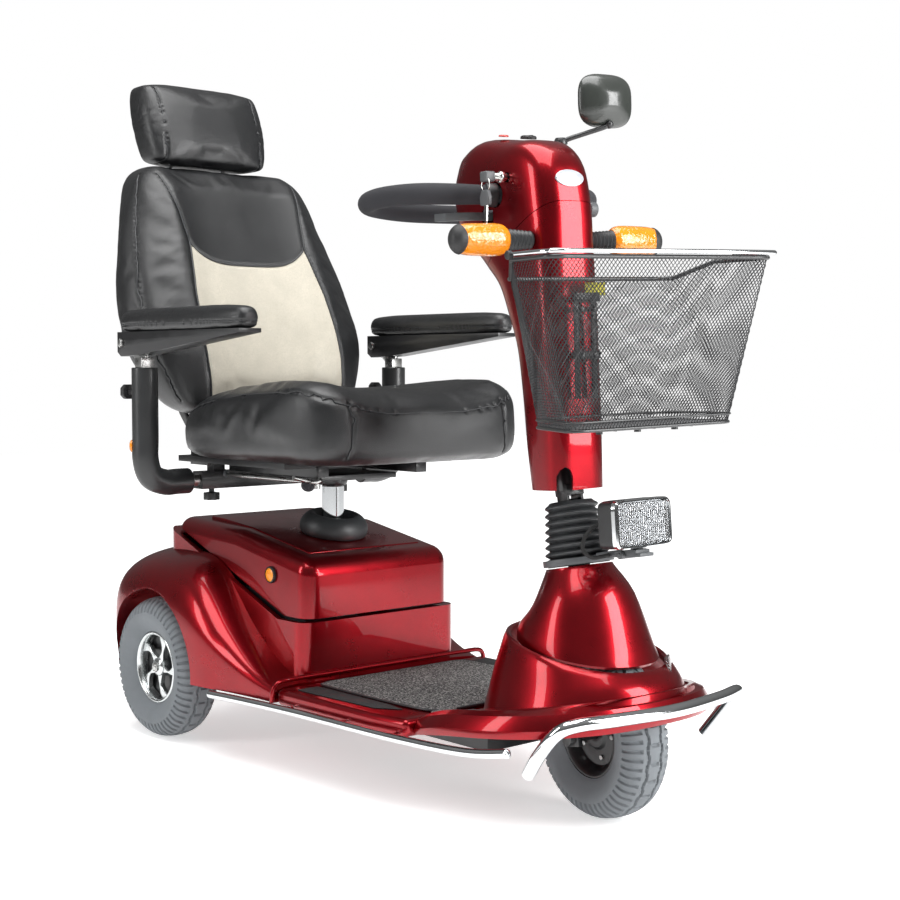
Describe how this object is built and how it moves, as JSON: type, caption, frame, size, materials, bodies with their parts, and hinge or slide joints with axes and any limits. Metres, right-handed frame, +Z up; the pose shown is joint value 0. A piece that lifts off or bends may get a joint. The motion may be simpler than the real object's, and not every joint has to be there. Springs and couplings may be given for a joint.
{
  "type": "mobility scooter",
  "caption": "Powered mobility scooter with one steered front wheel, tiller with loop grip and basket, swivelling armchair seat with headrest, and a low footboard.",
  "frame": {"origin": "on the ground under the middle of the overall box", "axes": "+X forwards, +Y to the rider's left, +Z up; the front wheel stands turned a little to the rider's right at rest"},
  "size_m": [1.4052, 0.6418, 1.24],
  "materials": {
    "body_red": "deep metallic red gloss paint",
    "tyre": "grey rubber tyre",
    "rear_rim": "cast and painted silver",
    "front_rim": "black moulded",
    "frame_steel": "black powder coat",
    "battery_case": "moulded case",
    "controller_case": "cast case",
    "boot_rubber": "moulded rubber",
    "reflector_amber": "prismatic plastic",
    "mat": "textured rubber mat",
    "chrome_bar": "bright chrome",
    "lamp_case": "moulded case",
    "lamp_lens": "clear ribbed lens",
    "lamp_bracket": "grey moulded",
    "cable_sheath": "black cable sheath",
    "grip_foam": "soft black grip",
    "control_grey": "grey moulded",
    "control_black": "black moulded",
    "horn_red": "red button",
    "key_metal": "nickel plated",
    "indicator_amber": "amber lens",
    "basket_wire": "black coated wire mesh",
    "seat_vinyl": "black upholstery vinyl",
    "tube_black": "satin black tube"
  },
  "bodies": {
    "chassis": {"chassis_frame": "frame_steel", "transaxle": "frame_steel", "battery_right": "battery_case", "battery_left": "battery_case", "controller_box": "controller_case", "rear_body_shell": "body_red", "battery_cover": "body_red", "seat_post_boot": "boot_rubber", "side_reflector_right": "reflector_amber", "side_reflector_left": "reflector_amber", "floor_pan": "body_red", "floor_mat": "mat", "front_visor": "body_red", "front_shroud_lower": "body_red", "front_shroud_upper": "body_red", "side_rail_right": "chrome_bar", "side_rail_left": "chrome_bar", "front_bumper": "chrome_bar", "headlamp_bracket": "lamp_bracket", "headlamp_cable": "cable_sheath", "seat_post": "chrome_bar"},
    "headlamp": {"headlamp_body": "lamp_case", "headlamp_lens": "lamp_lens"},
    "rear_wheel_right": {"tyre_rear_right": "tyre", "rim_rear_right": "rear_rim"},
    "rear_wheel_left": {"tyre_rear_left": "tyre", "rim_rear_left": "rear_rim"},
    "steering": {"steering_fork": "frame_steel", "steering_bellows": "boot_rubber"},
    "front_wheel": {"tyre_front": "tyre", "rim_front": "front_rim"},
    "tiller": {"tiller_column": "frame_steel", "tiller_shroud": "body_red", "tiller_head": "body_red", "handlebar": "grip_foam", "indicator_right": "indicator_amber", "indicator_left": "indicator_amber", "mirror_arm": "control_black"},
    "thumb_lever_right": {"thumb_lever_right": "control_grey"},
    "thumb_lever_left": {"thumb_lever_left": "control_grey"},
    "speed_dial": {"speed_dial": "control_black"},
    "horn_button": {"horn_button": "horn_red"},
    "ignition_key": {"ignition_key": "key_metal"},
    "mirror": {"mirror_head": "control_black"},
    "basket": {"basket": "basket_wire"},
    "basket_handle": {"basket_handle": "chrome_bar"},
    "seat_swivel": {"seat_swivel_plate": "frame_steel"},
    "swivel_lever": {"swivel_lever": "control_black"},
    "seat": {"seat_frame": "frame_steel", "seat_cushion": "seat_vinyl"},
    "back": {"backrest_frame": "frame_steel", "backrest": "seat_vinyl"},
    "headrest": {"headrest": "seat_vinyl"},
    "recline_lever": {"recline_lever": "control_black"},
    "armrest_post_right": {"armrest_post_right": "tube_black"},
    "armrest_post_left": {"armrest_post_left": "tube_black"},
    "armrest_right": {"armrest_arm_right": "control_black", "armrest_pad_right": "seat_vinyl"},
    "armrest_left": {"armrest_arm_left": "control_black", "armrest_pad_left": "seat_vinyl"}
  },
  "joints": [
    {"name": "rear_wheel_right_spin", "type": "hinge", "parent": "chassis", "child": "rear_wheel_right", "pos_m": [-0.40784, -0.218, 0.13], "axis": [0, 1, 0], "continuous": true},
    {"name": "rear_wheel_left_spin", "type": "hinge", "parent": "chassis", "child": "rear_wheel_left", "pos_m": [-0.40784, 0.218, 0.13], "axis": [0, 1, 0], "continuous": true},
    {"name": "steering_turn", "type": "hinge", "parent": "chassis", "child": "steering", "pos_m": [0.45543, 0, 0.32253], "axis": [-0.1874, 0, 0.9823], "range_deg": [-25, 45]},
    {"name": "front_wheel_spin", "type": "hinge", "parent": "steering", "child": "front_wheel", "pos_m": [0.49216, 0, 0.13], "axis": [0.1638, 0.986, 0.0312], "continuous": true},
    {"name": "tiller_tilt", "type": "hinge", "parent": "steering", "child": "tiller", "pos_m": [0.42733, 0, 0.46987], "axis": [0.1638, 0.986, 0.0312], "range_deg": [-15, 5], "deforming": ["steering_bellows"]},
    {"name": "thumb_lever_right_turn", "type": "hinge", "parent": "tiller", "child": "thumb_lever_right", "pos_m": [0.29152, -0.03648, 0.92473], "axis": [-0.0026, -0.0312, 0.9995], "range_deg": [-10, 10], "stiffness_Nm_per_rad": 0.3},
    {"name": "thumb_lever_left_turn", "type": "hinge", "parent": "tiller", "child": "thumb_lever_left", "pos_m": [0.30594, 0.05029, 0.92748], "axis": [-0.0026, -0.0312, 0.9995], "range_deg": [-10, 10], "stiffness_Nm_per_rad": 0.3},
    {"name": "speed_dial_turn", "type": "hinge", "parent": "tiller", "child": "speed_dial", "pos_m": [0.30234, 0.02668, 1.0514], "axis": [0.1057, -0.049, 0.9932], "range_deg": [-135, 135]},
    {"name": "horn_button_press", "type": "slide", "parent": "tiller", "child": "horn_button", "axis": [-0.1057, 0.049, -0.9932], "range_m": [0, 0.0015], "stiffness_N_per_m": 600},
    {"name": "ignition_key_turn", "type": "hinge", "parent": "tiller", "child": "ignition_key", "pos_m": [0.34236, -0.07304, 0.97975], "axis": [-0.1638, -0.986, -0.0312], "range_deg": [0, 60]},
    {"name": "mirror_turn", "type": "hinge", "parent": "tiller", "child": "mirror", "pos_m": [0.43977, 0.09041, 1.10417], "axis": [-0.0026, -0.0312, 0.9995], "range_deg": [-20, 20]},
    {"name": "basket_lift_off", "type": "slide", "parent": "tiller", "child": "basket", "axis": [-0.0026, -0.0312, 0.9995], "range_m": [0, 0.06]},
    {"name": "basket_handle_raise", "type": "hinge", "parent": "basket", "child": "basket_handle", "pos_m": [0.57416, -0.03642, 0.84943], "axis": [-0.1638, -0.986, -0.0312], "range_deg": [0, 90]},
    {"name": "headlamp_tilt", "type": "hinge", "parent": "chassis", "child": "headlamp", "pos_m": [0.55816, 0, 0.456], "axis": [0, 1, 0], "range_deg": [-4, 4], "deforming": ["headlamp_cable"]},
    {"name": "seat_swivel_turn", "type": "hinge", "parent": "chassis", "child": "seat_swivel", "pos_m": [-0.18284, 0, 0.472], "axis": [0, 0, 1], "range_deg": [-90, 90]},
    {"name": "swivel_lever_pull", "type": "hinge", "parent": "seat_swivel", "child": "swivel_lever", "pos_m": [-0.16984, -0.048, 0.475], "axis": [0, 0, 1], "range_deg": [-15, 5], "stiffness_Nm_per_rad": 1},
    {"name": "seat_slide", "type": "slide", "parent": "seat_swivel", "child": "seat", "axis": [1, 0, 0], "range_m": [-0.05, 0.05]},
    {"name": "backrest_recline", "type": "hinge", "parent": "seat", "child": "back", "pos_m": [-0.38584, 0, 0.545], "axis": [0, -1, 0], "range_deg": [-15, 35]},
    {"name": "headrest_height", "type": "slide", "parent": "back", "child": "headrest", "axis": [-0.2759, 0, 0.9612], "range_m": [0, 0.05]},
    {"name": "recline_lever_pull", "type": "hinge", "parent": "seat", "child": "recline_lever", "pos_m": [-0.38584, -0.175, 0.545], "axis": [0, -1, 0], "range_deg": [0, 20], "stiffness_Nm_per_rad": 0.5},
    {"name": "armrest_width_right", "type": "slide", "parent": "seat", "child": "armrest_post_right", "axis": [0, -1, 0], "range_m": [0, 0.05]},
    {"name": "armrest_flip_right", "type": "hinge", "parent": "armrest_post_right", "child": "armrest_right", "pos_m": [-0.39884, -0.289, 0.73], "axis": [0, -1, 0], "range_deg": [0, 105]},
    {"name": "armrest_width_left", "type": "slide", "parent": "seat", "child": "armrest_post_left", "axis": [0, 1, 0], "range_m": [0, 0.05]},
    {"name": "armrest_flip_left", "type": "hinge", "parent": "armrest_post_left", "child": "armrest_left", "pos_m": [-0.39884, 0.289, 0.73], "axis": [0, -1, 0], "range_deg": [0, 105]}
  ],
  "couplings": [
    {"joint": "thumb_lever_left_turn", "follows": "thumb_lever_right_turn", "ratio": 1}
  ]
}
